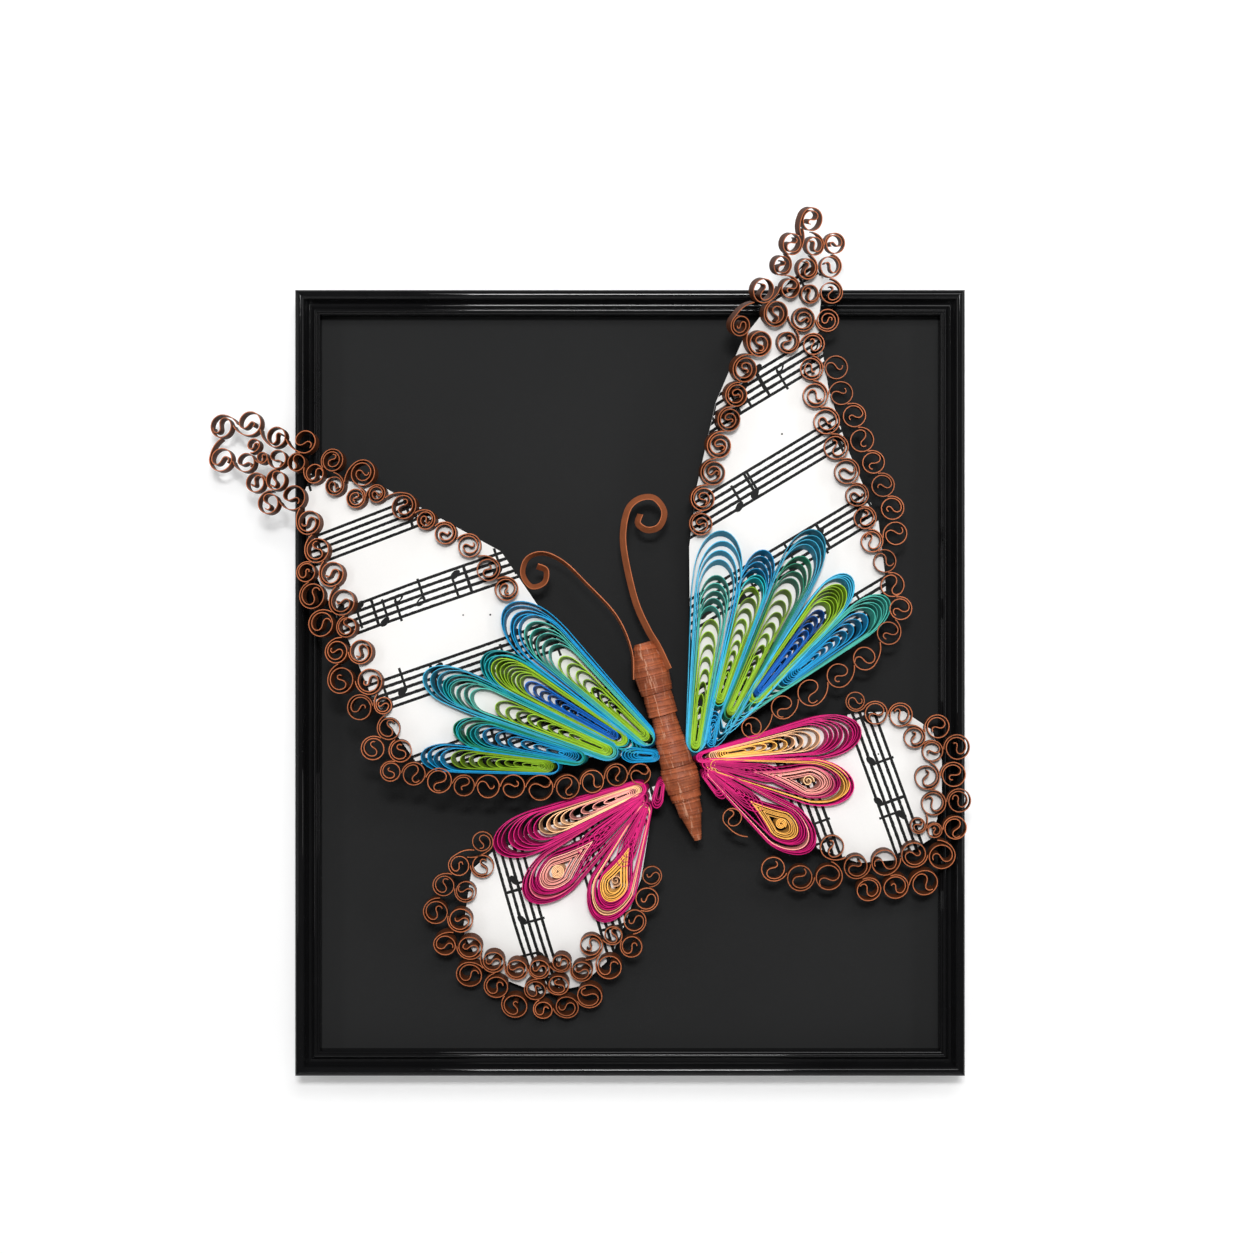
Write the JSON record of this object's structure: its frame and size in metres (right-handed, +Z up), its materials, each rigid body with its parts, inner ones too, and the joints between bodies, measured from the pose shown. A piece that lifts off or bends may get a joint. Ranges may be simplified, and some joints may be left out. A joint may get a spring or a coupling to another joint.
{
  "type": "framed quilled butterfly wall art",
  "caption": "Framed wall art: a raised butterfly of rolled and folded paper strips on bent paper wings over a dark card in a thin black frame, hung from a toothed hanger",
  "frame": {"origin": "bearing point of the toothed hanger, in the plane of the frame's back", "axes": "+X to the viewer's right, +Y into the wall, +Z up; the picture faces -Y"},
  "size_m": [0.2411, 0.034, 0.2738],
  "materials": {
    "frame_black": "glossy black moulded plastic, lightly scuffed",
    "steel": "thin zinc-plated steel",
    "charcoal_card": "matte charcoal card",
    "grey_board": "brown fibre board",
    "foam": "white closed-cell foam",
    "music_paper": "white paper printed with black staves",
    "brown_strip": "copper-brown paper strip",
    "body_strip": "copper-brown paper strip, wound, with lighter creases",
    "blue_strip": "blue paper strip",
    "teal_strip": "teal and green paper strip",
    "magenta_strip": "magenta, pink and peach paper strip"
  },
  "bodies": {
    "root": {"antenna_left": "brown_strip", "antenna_right": "brown_strip", "back_board": "grey_board", "backing_card": "charcoal_card", "body_foam_block": "foam", "body_lower_abdomen": "body_strip", "body_tail": "body_strip", "body_thorax": "body_strip", "body_upper_abdomen": "body_strip", "body_waist": "body_strip", "foam_pad_left_forewing": "foam", "foam_pad_left_hindwing": "foam", "foam_pad_right_forewing": "foam", "foam_pad_right_hindwing": "foam", "forewing_card_left": "music_paper", "forewing_card_right": "music_paper", "frame_points": "steel", "frame_rail_bottom": "frame_black", "frame_rail_left": "frame_black", "frame_rail_right": "frame_black", "frame_rail_top": "frame_black", "hindwing_card_left": "music_paper", "hindwing_card_right": "music_paper", "petal_left_forewing_1": "blue_strip", "petal_left_forewing_2": "teal_strip", "petal_left_forewing_3": "teal_strip", "petal_left_forewing_4": "teal_strip", "petal_left_forewing_5": "blue_strip", "petal_left_forewing_6": "blue_strip", "petal_left_hindwing_1": "magenta_strip", "petal_left_hindwing_2": "magenta_strip", "petal_left_hindwing_3": "magenta_strip", "petal_left_hindwing_4": "magenta_strip", "petal_right_forewing_1": "blue_strip", "petal_right_forewing_2": "blue_strip", "petal_right_forewing_3": "teal_strip", "petal_right_forewing_4": "teal_strip", "petal_right_forewing_5": "teal_strip", "petal_right_forewing_6": "blue_strip", "petal_right_hindwing_1": "magenta_strip", "petal_right_hindwing_2": "magenta_strip", "petal_right_hindwing_3": "magenta_strip", "petal_right_hindwing_4": "magenta_strip", "sawtooth_hanger": "steel", "scrolls_left_forewing_bottom": "brown_strip", "scrolls_left_forewing_side": "brown_strip", "scrolls_left_forewing_tip": "brown_strip", "scrolls_left_forewing_top": "brown_strip", "scrolls_left_hindwing_bottom": "brown_strip", "scrolls_left_hindwing_side": "brown_strip", "scrolls_right_forewing_bottom": "brown_strip", "scrolls_right_forewing_edge": "brown_strip", "scrolls_right_forewing_inner": "brown_strip", "scrolls_right_forewing_outer": "brown_strip", "scrolls_right_forewing_tip": "brown_strip", "scrolls_right_hindwing_bottom": "brown_strip", "scrolls_right_hindwing_side": "brown_strip"}
  },
  "joints": []
}
